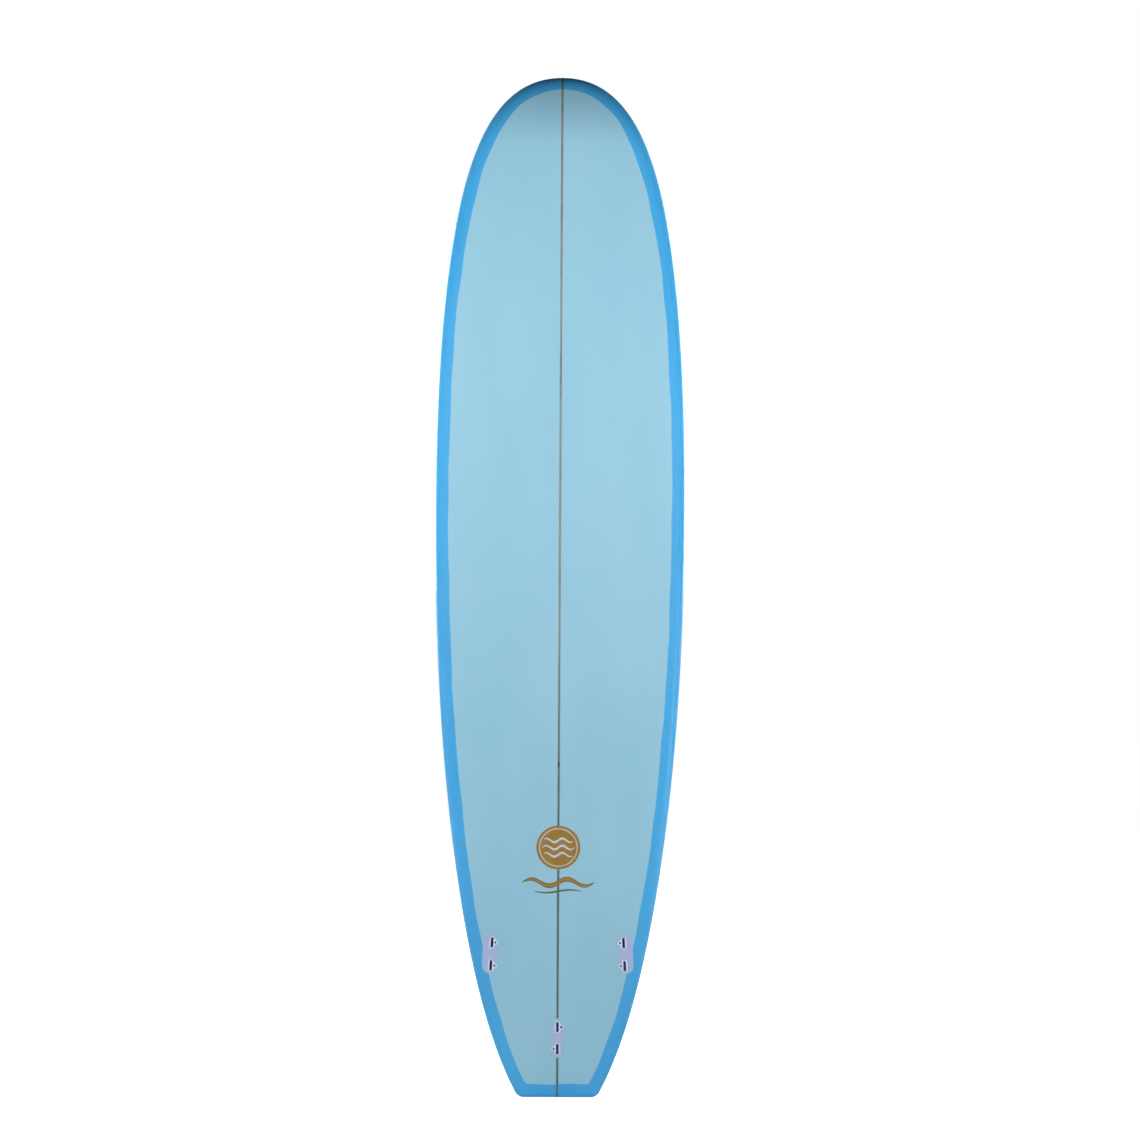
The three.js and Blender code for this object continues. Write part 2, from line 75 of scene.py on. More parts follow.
UNDER_SHARE, OVER_WIDTH = 0.42, 1.55
UNDER_WIDTH = {"middle": 1.2, "nose": 3, "tail": 1.2}
SKIN = 1.2 * MM
LAP = 32.5 * MM
INNER_RING, INNER_CORNER_R = 46 * MM, 6 * MM
STRINGER, GLUE = 4.8 * MM, 0.9 * MM

PLUG_LENGTH, PLUG_WIDTH, PLUG_DEPTH = 30.5 * MM, 14.5 * MM, 16 * MM
LOBE_X, LOBE_R, LOBE_SWEEP, SEAT_X = 9.3 * MM, 5.5 * MM, 58, 5.2 * MM
SLOT_LENGTH, SLOT_WIDTH, SLOT_DEPTH, SLOT_CORNER = 24.2 * MM, 6.2 * MM, 13.5 * MM, 1.5 * MM
SCREW_R, SCREW_LENGTH, SCREW_POINT, SCREW_SINK = 2.3 * MM, 8.4 * MM, 1.2 * MM, 1.75 * MM
SCREW_SOCKET = 2.4 * MM
THREAD_PITCH, THREAD_CUT = 0.8 * MM, 0.22 * MM
BORE_R, BORE_DEPTH, BORE_TILT = 2.6 * MM, 14 * MM, math.radians(30)
OPENING_GAP, LEASH_HOLE_GAP = 0.12 * MM, 0.15 * MM
PATCH_R, PATCH_HALF = 21 * MM, 48 * MM
LEASH_R, LEASH_DEPTH, CUP_R, CUP_DEPTH = 15 * MM, 16 * MM, 11.5 * MM, 13 * MM
BAR_R, BAR_DEPTH, RIM_X = 1.75 * MM, 5 * MM, 13.25 * MM

# The prints in the bottom panel, and how far a cutting tool reaches either side of the skin.
BADGE_Z, BADGE_R = 600 * MM, 52 * MM
BADGE_RING, BADGE_RING_WIDTH = 45.5 * MM, 2 * MM
WAVES, WAVE_STEP, WAVE_MARGIN = (-17 * MM, 0, 17 * MM), 38 * MM, 7 * MM
WAVE_HEIGHT, WAVE_SWING = 5.5 * MM, 4.5 * MM
STROKE_Z, STROKE_HALF, STROKE_HEIGHT, STROKE_SWING = 517 * MM, 85 * MM, 12 * MM, 8 * MM
STROKE_EDGE = 2 * MM
UNDERLINE_Y, UNDERLINE_HALF = -21 * MM, 56 * MM
UNDERLINE_HEIGHT, UNDERLINE_SWING = 4.5 * MM, 3.5 * MM
THROUGH = 4 * MM

PLUGS_BELOW = 500 * MM
PLUG_NAMES = [
    "left_front", "left_rear", "right_front", "right_rear", "centre_front", "centre_rear",
]


# ---- Outline and surface --------------------------------------------------------------------------


def bezier(points, t):
    """Points of a cubic Bezier curve, with the unit tangent at each."""
    p = np.array(points, float)
    t = np.asarray(t, float)[:, None]
    s = 1 - t
    at = s**3 * p[0] + 3 * s**2 * t * p[1] + 3 * s * t**2 * p[2] + t**3 * p[3]
    d = s**2 * (p[1] - p[0]) + 2 * s * t * (p[2] - p[1]) + t**2 * (p[3] - p[2])
    return at, d / np.linalg.norm(d, axis=1)[:, None]


NOSE_CURVE = [
    (0, LENGTH),
    (NOSE_FULLNESS, LENGTH),
    (HALF_WIDTH, WIDE_Z + NOSE_REACH),
    (HALF_WIDTH, WIDE_Z),
]
TAIL_CURVE = [
    (TAIL_HALF, 0),
    (TAIL_HALF + TAIL_FLARE, TAIL_RISE),
    (HALF_WIDTH, WIDE_Z - TAIL_REACH),
    (HALF_WIDTH, WIDE_Z),
]
CORNER_TURN = math.acos(TAIL_FLARE / math.hypot(TAIL_FLARE, TAIL_RISE))
CORNER_K = math.tan(CORNER_TURN / 2)

# Points along half a ring: the tail's edge, its corner, the side, the nose, and the nose's tip.
# A finer side makes the inner ring fold back on itself where it meets the corner.
EDGE, CORNER, TAIL, NOSE, TIP = 6, 8, 44, 44, 10
TAIL_START, TAIL_CROWDING, TIP_T = 0.03, 1.2, 0.2


def tail_share(i):
    """How far along the tail's curve its point i lies; the points are closer near the corner."""
    return TAIL_START + (1 - TAIL_START) * (i / TAIL) ** TAIL_CROWDING


def half_ring(inset, corner_r):
    """The right half of the outline, moved in by inset, from the middle of the tail to the nose tip."""
    flat = TAIL_HALF - (inset + corner_r) * CORNER_K
    rows = [(flat * i / EDGE, inset) for i in range(EDGE)]
    for i in range(CORNER + 1):
        a = -math.pi / 2 + CORNER_TURN * i / CORNER
        rows.append((flat + corner_r * math.cos(a), inset + corner_r * (1 + math.sin(a))))
    at, d = bezier(TAIL_CURVE, [tail_share(i) for i in range(1, TAIL + 1)])
    rows += [(p[0] - inset * v[1], p[1] + inset * v[0]) for p, v in zip(at, d)]
    ts = [1 - (1 - TIP_T) * i / NOSE for i in range(1, NOSE + 1)]
    ts += [TIP_T * (1 - i / TIP) for i in range(1, TIP + 1)]
    at, d = bezier(NOSE_CURVE, ts)
    rows += [(p[0] + inset * v[1], p[1] - inset * v[0]) for p, v in zip(at, d)]
    return np.array(rows)


OUTER = half_ring(0, CORNER_R)
INNER = half_ring(INNER_RING, INNER_CORNER_R)
HALF = len(OUTER) - 1


def fine_outline():
    """The right half of the outline as a line fine enough to measure distances from."""
    flat = TAIL_HALF - CORNER_R * CORNER_K
    a = -math.pi / 2 + CORNER_TURN * np.linspace(0, 1, 12)
    arc = np.column_stack([flat + CORNER_R * np.cos(a), CORNER_R * (1 + np.sin(a))])
    tail = bezier(TAIL_CURVE, np.linspace(0.035, 1, 160))[0]
    nose = bezier(NOSE_CURVE, np.linspace(1, 0, 240))[0][1:]
    return np.vstack([[(0, 0)], arc, tail, nose])


EDGE_LINE = fine_outline()


def edge_distance(x, z):
    """Distance of each point (x, z) from the outline."""
    a, b = EDGE_LINE[:-1], EDGE_LINE[1:]
    ab = b - a
    best = np.full(len(x), np.inf)
    for i in range(0, len(x), 2000):
        p = np.column_stack([np.abs(x[i:i + 2000]), z[i:i + 2000]])
        ap = p[:, None, :] - a[None]
        s = np.clip((ap * ab).sum(2) / (ab * ab).sum(1), 0, 1)
        best[i:i + 2000] = np.linalg.norm(ap - s[:, :, None] * ab, axis=2).min(1)
    return best


def half_width(z):
    """Half the board's width at each z."""
    return np.interp(z, EDGE_LINE[1:, 1], EDGE_LINE[1:, 0])


def rocker(z):
    """How far the bottom's centreline has risen at each z, towards the nose and the tail."""
    nose = NOSE_ROCKER * (np.maximum(z - FLAT_Z, 0) / (LENGTH - FLAT_Z)) ** 2.6
    nose = nose + KICK_RISE * np.maximum(0, 1 - (LENGTH - z) / KICK_REACH) ** 2
    return nose + TAIL_ROCKER * (np.maximum(FLAT_Z - z, 0) / FLAT_Z) ** 2.2


def foil(size, z):
    """A size at each z, from its values in the middle, at the nose and at the tail."""
    nose = (np.maximum(z - THICK_Z, 0) / (LENGTH - THICK_Z)) ** 2.6
    tail = (np.maximum(THICK_Z - z, 0) / THICK_Z) ** 2.4
    middle = size["middle"]
    return middle - (middle - size["nose"]) * nose - (middle - size["tail"]) * tail


def board_y(x, z, deck, edge=None):
    """The board's surface at each (x, z), on the deck or on the bottom, in the board's own y."""
    x, z = np.atleast_1d(x).astype(float), np.atleast_1d(z).astype(float)
    edge = edge_distance(x, z) if edge is None else edge
    rail = foil(RAIL, z)
    under = rail * UNDER_SHARE
    height = rail - under if deck else under
    width = height * (OVER_WIDTH if deck else foil(UNDER_WIDTH, z))
    rise = height * np.sqrt(1 - (1 - np.clip(edge / width, 0, 1)) ** 2)
    line = rocker(z) + ROLL * (x / HALF_WIDTH) ** 2 + under
    if not deck:
        return line - rise
    h = np.maximum(half_width(z), 1e-6)
    crown = np.maximum(0, 1 - (x / h) ** 2)
    return line + rise + (foil(THICK, z) - rail) * crown


def measure_shift():
    """Where the board's own y = 0 lies in the frame, from a plug whose place the record gives."""
    seat = mount("centre_front_fin_seat")
    at = Vector(seat["pos_m"])
    return at.y - board_y(at.x, at.z, False)[0]


def mount(name):
    return next(m for m in RECORD["mounts"] if m["name"] == name)


SHIFT_Y = measure_shift()


def surface_y(x, z, deck, edge=None):
    y = board_y(x, z, deck, edge) + SHIFT_Y
    return np.clip(y, CAD_LOW[1] + 0.02 * MM, CAD_HIGH[1] - 0.02 * MM)


# ---- Mesh helpers ---------------------------------------------------------------------------------


def make_object(name, verts, faces, smooth_angle=30):
    """A mesh object whose points are already in the frame."""
    mesh = bpy.data.meshes.new(name)
    mesh.from_pydata([tuple(map(float, v)) for v in verts], [], [tuple(map(int, f)) for f in faces])
    mesh.validate()
    obj = bpy.data.objects.new(name, mesh)
    bpy.context.scene.collection.objects.link(obj)
    tidy(obj, smooth_angle)
    return obj


def tidy(obj, smooth_angle=30):
    """Faces turned outwards, shaded smooth, with sharp edges where the surface turns quickly."""
    bm = bmesh.new()
    bm.from_mesh(obj.data)
    bmesh.ops.remove_doubles(bm, verts=bm.verts, dist=0.002 * MM)
    bmesh.ops.dissolve_degenerate(bm, edges=bm.edges, dist=0.002 * MM)
    bmesh.ops.recalc_face_normals(bm, faces=bm.faces)
    bm.to_mesh(obj.data)
    bm.free()
    obj.data.shade_smooth()
    obj.data.set_sharp_from_angle(angle=math.radians(smooth_angle))


def boolean(obj, tools, operation="DIFFERENCE", smooth_angle=30):
    """Cuts obj with each tool, or keeps what they share. Stops the script if nothing is left."""
    for tool in tools:
        mod = obj.modifiers.new("cut", "BOOLEAN")
        mod.object = tool
        mod.operation = operation
        mod.solver = "EXACT"
    graph = bpy.context.evaluated_depsgraph_get()
    made = bpy.data.meshes.new_from_object(obj.evaluated_get(graph), depsgraph=graph)
    if not made.polygons:
        raise RuntimeError(obj.name + " has no faces left after a cut")
    obj.modifiers.clear()
    obj.data = made
    tidy(obj, smooth_angle)
    return obj


def remove(objects):
    for obj in objects:
        bpy.data.objects.remove(obj)


def arc(cx, cy, r, start, end, steps):
    """Points on an arc, in degrees, both ends included."""
    angles = [math.radians(start + (end - start) * i / steps) for i in range(steps + 1)]
    return [(cx + r * math.cos(a), cy + r * math.sin(a)) for a in angles]


def loft(name, loops, place, smooth_angle=30):
    """A solid through loops of as many (x, y, z) points each, moved by the matrix place."""
    n = len(loops[0])
    verts = [place @ Vector(p) for loop in loops for p in loop]
    faces = []
    for k in range(len(loops) - 1):
        for i in range(n):
            j = (i + 1) % n
            faces.append((k * n + i, k * n + j, (k + 1) * n + j, (k + 1) * n + i))
    faces.append(tuple(reversed(range(n))))
    faces.append(tuple(range((len(loops) - 1) * n, len(loops) * n)))
    return make_object(name, verts, faces, smooth_angle)


def prism(name, outline, low, high, place):
    return loft(name, [[(x, y, z) for x, y in outline] for z in (low, high)], place)


def turned(name, profile, place, steps=64, smooth_angle=30):
    """A body turned about z from (radius, height) pairs that start and end on the axis."""
    loops = []
    for r, z in profile:
        r = max(r, 0.001 * MM)
        loops.append([(x, y, z) for x, y in arc(0, 0, r, 0, 360 - 360 / steps, steps - 1)])
    return loft(name, loops, place, smooth_angle)


# ---- Skin -----------------------------------------------------------------------------------------

PANEL, BAND, DECK = range(3)
BAND_RINGS = 12
LAP_WOBBLE = 0.75 * MM
# Each wave of the hand-cut lap line: radians per metre, share of the wobble, phase.
WOBBLES = ((35, 1, 0), (14, 0.7, 1), (60, 0.6, 0))


def skin_grid():
    """The whole surface as points, quads and the group of each quad: bottom panel, band or deck."""
    xs, zs, decks, edges, quads, groups = [], [], [], [], [], []

    def add(x, z, deck, edge):
        start = len(xs)
        xs.extend(x)
        zs.extend(z)
        decks.extend([deck] * len(x))
        edges.extend(edge)
        return list(range(start, len(xs)))

    index = np.r_[0:HALF + 1, HALF - 1:0:-1]
    sign = np.r_[np.ones(HALF + 1), -np.ones(HALF - 1)]
    walked = np.r_[0, np.cumsum(np.linalg.norm(np.diff(OUTER, axis=0), axis=1))]
    along = np.where(np.arange(2 * HALF) > HALF, 2 * walked[-1] - walked[index], walked[index])
    wave = LAP_WOBBLE * sum(share * np.sin(rate * along + phase) for rate, share, phase in WOBBLES)

    def ring(share, inset, deck):
        at = inset + share * wave
        p = OUTER[index] + (INNER - OUTER)[index] * (at / INNER_RING)[:, None]
        x = np.where((index == 0) | (index == HALF), 0, p[:, 0]) * sign
        return add(x, p[:, 1], deck, [0.0] * len(x) if inset == 0 else [math.nan] * len(x))

    def band(a, b, group, deck):
        for k in range(len(a)):
            n = (k + 1) % len(a)
            quad = (a[k], a[n], b[n], b[k])
            quads.append(quad[::-1] if deck else quad)
            groups.append(group)

    apex = ring(0, 0, False)
    for deck in (False, True):
        last = apex
        for k in range(1, BAND_RINGS + 1):
            share = (k / BAND_RINGS) ** 2
            now = ring(share, LAP * share, deck)
            band(last, now, BAND, deck)
            last = now
        inside = DECK if deck else PANEL
        for share, inset in ((0.5, (LAP + INNER_RING) / 2), (0, INNER_RING)):
            now = ring(share, inset, deck)
            band(last, now, inside, deck)
            last = now
        for quad in middle_rows(last, xs, zs, lambda x, z: add(x, z, deck, [math.nan] * len(x))):
            quads.append(quad[::-1] if deck else quad)
            groups.append(inside)
    x, z, deck, edge = np.array(xs), np.array(zs), np.array(decks), np.array(edges)
    known = np.isfinite(edge)
    edge[~known] = edge_distance(x[~known], z[~known])
    y = np.where(deck, surface_y(x, z, True, edge), surface_y(x, z, False, edge))
    return np.column_stack([x, y, z]), np.array(quads), np.array(groups)


def middle_rows(loop, xs, zs, add):
    """Quads that fill the innermost ring, in rows across the board."""
    reach = EDGE + CORNER // 2
    rows = HALF - 2 * reach
    total = 2 * HALF
    at = lambda i: np.array([xs[loop[i % total]], zs[loop[i % total]]])
    z0, z1 = at(reach)[1], at(reach + rows)[1]
    columns = range(-reach, reach + 1)
    grid = []
    for j in range(rows + 1):
        side = at(reach + j)
        v = (side[1] - z0) / (z1 - z0)
        if j == 0:
            grid.append([loop[c % total] for c in columns])
        elif j == rows:
            grid.append([loop[(HALF - c) % total] for c in columns])
        else:
            x, z = [], []
            for c in columns[1:-1]:
                u = c / reach
                tail, nose = at(c), at(HALF - c)
                bend = (1 - v) * (tail[0] - u * at(reach)[0]) + v * (nose[0] - u * at(reach + rows)[0])
                x.append(bend + u * side[0] if c else 0.0)
                z.append(side[1] + (1 - v) * (tail[1] - z0) + v * (nose[1] - z1))
            grid.append([loop[total - reach - j], *add(x, z), loop[reach + j]])
    return [
        (grid[j][c], grid[j][c + 1], grid[j + 1][c + 1], grid[j + 1][c])
        for j in range(rows)
        for c in range(2 * reach)
    ]


def point_normals(points, quads):
    a, b, c, d = (points[quads[:, i]] for i in range(4))
    n = np.cross(c - a, d - b)
    total = np.zeros_like(points)
    for i in range(4):
        np.add.at(total, quads[:, i], n)
    return total / np.linalg.norm(total, axis=1)[:, None]


def shell(name, points, normals, quads, top=0.0, depth=SKIN):
    """A closed sheet between top and depth under the chosen quads."""
    used, flat = np.unique(quads, return_inverse=True)
    flat = flat.reshape(quads.shape)
    n = len(used)
    verts = np.vstack([points[used] - normals[used] * top, points[used] - normals[used] * depth])
    faces = flat.tolist() + (flat[:, ::-1] + n).tolist()
    edges = {(int(f[i]), int(f[(i + 1) % 4])) for f in flat for i in range(4)}
    faces += [(b, a, a + n, b + n) for a, b in edges if (b, a) not in edges]
    return make_object(name, verts, faces)


# ---- Frames of the plugs, from the record ---------------------------------------------------------


def frame_at(origin, right, out):
    up = out.cross(right)
    m = Matrix((right, up, out)).transposed().to_4x4()
    m.translation = origin
    return m


def plug_place(name):
    """The plug's frame: origin in the middle of its slot, z out of the board, x towards its screw."""
    seat = mount(name + "_fin_seat")
    out = Vector(seat["axis"]).normalized()
    joint = next(j for j in RECORD["behaviour"]["joints"] if j["child"] == name + "_clamp")
    inwards = Vector(joint["axis"]).normalized()
    lobe = -(inwards + out * -inwards.dot(out)).normalized()
    return frame_at(Vector(seat["pos_m"]) + lobe * SEAT_X, lobe, out), inwards


def leash_place():
    rim = mount("leash_plug_rim")
    out = Vector(rim["axis"]).normalized()
    up = Vector((0, -out.z, out.y)).normalized()
    return frame_at(Vector(rim["pos_m"]) - up * RIM_X, up.cross(out), out)


# ---- Pieces ---------------------------------------------------------------------------------------


def plug_outline(grow=0.0):
    straight = (PLUG_LENGTH - PLUG_WIDTH) / 2
    r = PLUG_WIDTH / 2 + grow
    return (
        arc(LOBE_X, 0, LOBE_R + grow, -LOBE_SWEEP, LOBE_SWEEP, 14)
        + arc(0, straight, r, 0, 180, 22)
        + arc(0, -straight, r, 180, 360, 22)
    )


def slot_outline():
    x, y, c = SLOT_WIDTH / 2, SLOT_LENGTH / 2, SLOT_CORNER
    corners = [(x - c, y - c, 0), (c - x, y - c, 90), (c - x, c - y, 180), (x - c, c - y, 270)]
    return [p for cx, cy, a in corners for p in arc(cx, cy, c, a, a + 90, 5)]


def make_plug(name, place, looks):
    """A moulded plug: rounded edge, slot for the fin's tab, slanted hole for the set screw; the slot's
    walls take a darker material as painted shade for the depth of the slot.
    """
    edge = 0.5 * MM
    loops = []
    for grow, z in ((-0.2 * MM, -PLUG_DEPTH), (0, -PLUG_DEPTH + 0.4 * MM), (0, -edge)):
        loops.append([(x, y, z) for x, y in plug_outline(grow)])
    for turn in (30, 60, 90):
        a = math.radians(turn)
        grow, z = edge * (math.cos(a) - 1), edge * (math.sin(a) - 1)
        loops.append([(x, y, z) for x, y in plug_outline(grow)])
    plug = loft(name + "_plug_body", loops, place, 40)
    slot = prism("slot", slot_outline(), -SLOT_DEPTH, 2 * MM, place)
    hole = place @ (Matrix.Translation((LOBE_X, 0, 0)) @ Matrix.Rotation(BORE_TILT, 4, "Y"))
    above = 3 * MM
    bore = turned("bore", [(0, -BORE_DEPTH), (BORE_R, -BORE_DEPTH), (BORE_R, above), (0, above)], hole)
    boolean(plug, [slot, bore], smooth_angle=35)
    remove([slot, bore])
    inverse = place.inverted()
    plug.data.materials.append(looks["plug"])
    # painted shade: the faces inside the slot get the darker slot material, standing for the shade in the
    # slot
    plug.data.materials.append(looks["slot"])
    for face in plug.data.polygons:
        p = inverse @ face.center
        in_length = abs(p.y) < SLOT_LENGTH / 2 + 0.05 * MM
        in_width = abs(p.x) < PLUG_WIDTH / 2 - 0.1 * MM
        in_depth = -PLUG_DEPTH + 1 * MM < p.z < -0.9 * MM
        face.material_index = int(in_length and in_width and in_depth)
    return plug


def make_screw(name, place, inwards, looks):
    """A set screw with a hex socket and a thread cut as close rings."""
    out = -inwards
    right = (place.to_3x3() @ Vector((0, 1, 0))).normalized()
    head = place @ Vector((LOBE_X, 0, 0)) + inwards * SCREW_SINK
    screw_place = frame_at(head, right, out)
    root = SCREW_R - THREAD_CUT
    z = SCREW_R - SCREW_POINT - SCREW_LENGTH
    profile = [(0, -SCREW_LENGTH), (SCREW_POINT, -SCREW_LENGTH), (root, z)]
    while z < -1.2 * MM:
        profile += [(SCREW_R, z + THREAD_PITCH / 2), (root, z + THREAD_PITCH)]
        z += THREAD_PITCH
    profile += [(SCREW_R, -0.35 * MM), (SCREW_R - 0.3 * MM, 0), (0, 0)]
    screw = turned(name + "_set_screw", profile, screw_place, 40, 35)
    hex_r = SCREW_SOCKET / math.sqrt(3)
    socket = prism("socket", arc(0, 0, hex_r, 0, 300, 5), -2.4 * MM, 1 * MM, screw_place)
    boolean(screw, [socket], smooth_angle=35)
    remove([socket])
    screw.data.materials.append(looks["screw"])
    return screw


def make_leash_cup(place, looks):
    """The leash plug: a turned cup with a rounded lip, and the bar that a leash is tied to."""
    lip = 0.8 * MM
    foot = 0.4 * MM
    profile = [(0, -LEASH_DEPTH), (LEASH_R - foot, -LEASH_DEPTH), (LEASH_R, -LEASH_DEPTH + foot)]
    profile += [(LEASH_R + x, z) for x, z in arc(-lip, -lip, lip, 0, 90, 5)]
    inner = 0.9 * MM
    profile += [(CUP_R + x, z) for x, z in arc(inner, -inner, inner, 90, 180, 5)]
    bowl = 3 * MM
    profile += [(CUP_R + x, -CUP_DEPTH + z) for x, z in arc(-bowl, bowl, bowl, 0, -90, 7)]
    profile.append((0, -CUP_DEPTH))
    cup = turned("leash_cup_body", profile, place, 72, 35)
    side = place @ Matrix.Translation((0, 0, -BAR_DEPTH)) @ Matrix.Rotation(math.pi / 2, 4, "Y")
    hole_r, half = BAR_R + LEASH_HOLE_GAP, LEASH_R + 1 * MM
    hole = turned("hole", [(0, -half), (hole_r, -half), (hole_r, half), (0, half)], side, 32)
    boolean(cup, [hole], smooth_angle=35)
    remove([hole])
    cup.data.materials.append(looks["cup"])
    end = LEASH_R - 1 * MM
    bevel = 0.4 * MM
    rod = [(0, -end), (BAR_R - bevel, -end), (BAR_R, bevel - end)]
    rod += [(BAR_R, end - bevel), (BAR_R - bevel, end), (0, end)]
    bar = turned("leash_cross_bar", rod, side, 40, 40)
    bar.data.materials.append(looks["bar"])
    return cup, bar


def stadium(radius, half):
    """The outline of a plug patch: two half circles joined by straight sides."""
    straight = half - PATCH_R
    return arc(0, straight, radius, 0, 180, 32) + arc(0, -straight, radius, 180, 360, 32)


# ---- Materials ------------------------------------------------------------------------------------


def srgb(r, g, b):
    """A linear colour from 0 to 255 screen values."""
    linear = [(c / 255 + 0.055) / 1.055 for c in (r, g, b)]
    return (*[v ** 2.4 if v > 0.09 else v / 1.2 for v in linear], 1.0)


# Clear gloss over the board, and the range of roughness under it. A range that reached lower rendered
# with hard-edged patches, so this one stays at 0.29 or more.
COAT = {"Coat_Weight": 0.35, "Coat_Roughness": 0.08}
GLOSS = {"Roughness": 0.3, "IOR": 1.5, **COAT}
SATIN = (0.29, 0.37)


class Look:
    """A Principled material, with short ways to add nodes to it."""

    def __init__(self, name, **values):
        self.material = bpy.data.materials.new(name)
        self.material.use_nodes = True
        self.tree = self.material.node_tree
        self.shader = self.tree.nodes["Principled BSDF"]
        for key, value in values.items():
            self.shader.inputs[key.replace("_", " ")].default_value = value

    def node(self, kind, inputs=(), **settings):
        made = self.tree.nodes.new("ShaderNode" + kind)
        for key, value in settings.items():
            setattr(made, key, value)
        for key, value in dict(inputs).items():
            if isinstance(value, bpy.types.NodeSocket):
                self.tree.links.new(value, made.inputs[key])
            else:
                made.inputs[key].default_value = value
        return made

    def set(self, key, socket):
        self.tree.links.new(socket, self.shader.inputs[key])

    def point(self, scale=(1, 1, 1)):
        """Object coordinates in metres, times scale."""
        at = self.node("TexCoord").outputs["Object"]
        return self.node("Mapping", {"Vector": at, "Scale": scale}).outputs[0]

    def noise(self, scale, stretch=(1, 1, 1), detail=2.0, rough=0.5):
        inputs = {"Vector": self.point(stretch), "Scale": scale, "Detail": detail, "Roughness": rough}
        return self.node("TexNoise", inputs).outputs["Fac"]

    def spread(self, factor, low, high, a, b, smooth=True):
        """factor's range low to high, as a to b."""
        inputs = {"Value": factor, "From Min": low, "From Max": high, "To Min": a, "To Max": b}
        kind = "SMOOTHSTEP" if smooth else "LINEAR"
        return self.node("MapRange", inputs, interpolation_type=kind).outputs[0]

    def mix(self, factor, a, b):
        return self.node("Mix", {0: factor, 6: a, 7: b}, data_type="RGBA").outputs[2]

    def maths(self, operation, a, b=0.0):
        return self.node("Math", {0: a, 1: b}, operation=operation).outputs[0]

    def axis(self, index, scale=(1, 1, 1)):
        return self.node("SeparateXYZ", {0: self.point(scale)}).outputs[index]

    def bump(self, height, metres, strength=1.0, normal=None):
        inputs = {"Height": height, "Distance": metres, "Strength": strength}
        if normal is not None:
            inputs["Normal"] = normal
        return self.node("Bump", inputs).outputs[0]


CLOTH_PITCH = 0.9 * MM


def weave(look, pitch):
    """Over-and-under glass cloth as a height from 0 to 1."""
    turns = 2 * math.pi / pitch
    across = look.maths("SINE", look.axis(0, (turns, 1, 1)))
    along = look.maths("SINE", look.axis(2, (1, 1, turns)))
    return look.spread(look.maths("MULTIPLY", across, along), -1, 1, 0, 1, False)


def resin_look(name, light, dark):
    """Tinted laminate under polished gloss: soft pools of tint, lengthwise squeegee streaks, cloth."""
    look = Look(name, **GLOSS, Coat_IOR=1.5)
    pools = look.noise(6, (1, 1, 0.5), 3)
    streaks = look.noise(7, (1.6, 1, 0.4), 0)
    specks = look.noise(900, detail=1)
    tint = look.maths("ADD", look.maths("MULTIPLY", pools, 0.55), look.maths("MULTIPLY", streaks, 0.45))
    colour = look.mix(look.spread(tint, 0.25, 0.75, 0, 1), light, dark)
    cloth = weave(look, CLOTH_PITCH)
    thread = look.mix(look.spread(cloth, 0, 1, 0, 0.02), colour, (1, 1, 1, 1))
    look.set("Base Color", look.mix(look.spread(specks, 0.74, 0.8, 0, 0.06), thread, (1, 1, 1, 1)))
    scuffs = look.noise(40, (1, 1, 0.2), 4)
    look.set("Roughness", look.spread(scuffs, 0.35, 0.75, *SATIN))
    swell = look.noise(14, detail=1)
    look.set("Normal", look.bump(cloth, 0.004 * MM, 0.3, look.bump(swell, 0.25 * MM, 0.4)))
    return look.material


def stringer_look(name, nose, tail, knot_z=None):
    """Wood seen through the laminate: fine lengthwise grain and, on the bottom, one knot."""
    look = Look(name, **GLOSS)
    grain = look.noise(700, (1, 1, 0.02), 3)
    growth = look.noise(7, (1, 1, 1), 2)
    shade = look.maths("ADD", look.maths("MULTIPLY", grain, 0.5), look.maths("MULTIPLY", growth, 0.5))
    base = look.mix(look.spread(look.axis(2), 0.5, 1.3, 0, 1), tail, nose)
    dark = tuple(v * 0.72 for v in tail[:3]) + (1,)
    colour = look.mix(look.spread(shade, 0.4, 0.7, 0, 0.7), base, dark)
    if knot_z:
        off = look.maths("ABSOLUTE", look.maths("SUBTRACT", look.axis(2), knot_z))
        colour = look.mix(look.spread(off, 3 * MM, 9 * MM, 0.85, 0), colour, srgb(38, 40, 42))
    look.set("Base Color", colour)
    look.set("Roughness", look.spread(grain, 0.3, 0.7, *SATIN))
    return look.material


def glue_look(name, colour):
    """The thin glue line on each side of the stringer, uneven in tint."""
    look = Look(name, **GLOSS)
    uneven = look.noise(60, (1, 1, 0.3), 3)
    look.set("Base Color", look.mix(look.spread(uneven, 0.35, 0.7, 0, 0.6), colour, srgb(140, 150, 140)))
    look.set("Roughness", look.spread(uneven, 0.3, 0.7, *SATIN))
    return look.material


def patch_look(name, centre, fringe, inward):
    """Filled resin: cloudy lilac that thins out to the laminate's own tint on its inner side.

    inward is 1 or -1, the way along x that the stringer lies, or 0 where both sides are inner.
    """
    look = Look(name, **GLOSS, Coat_IOR=1.5)
    x, y = look.axis(0), look.axis(1)
    past_middle = look.maths("SUBTRACT", look.maths("ABSOLUTE", y), PATCH_HALF - PATCH_R)
    over = look.maths("MULTIPLY", look.maths("MAXIMUM", past_middle, 0.0), 0.8)
    off = look.maths("MAXIMUM", look.maths("MULTIPLY", x, inward), 0.0) if inward else x
    square = look.maths("ADD", look.maths("MULTIPLY", off, off), look.maths("MULTIPLY", over, over))
    distance = look.maths("SQRT", square)
    cloud = look.spread(look.noise(90, detail=3), 0.3, 0.7, -1, 1, False)
    cloud = look.maths("MULTIPLY", cloud, 2.5 * MM)
    edge = look.spread(look.maths("ADD", distance, cloud), PATCH_R * 0.4, PATCH_R * 0.85, 0, 1)
    look.set("Base Color", look.mix(edge, centre, fringe))
    specks = look.noise(500, detail=2)
    look.set("Roughness", look.spread(specks, 0.3, 0.7, 0.29, 0.35))
    return look.material


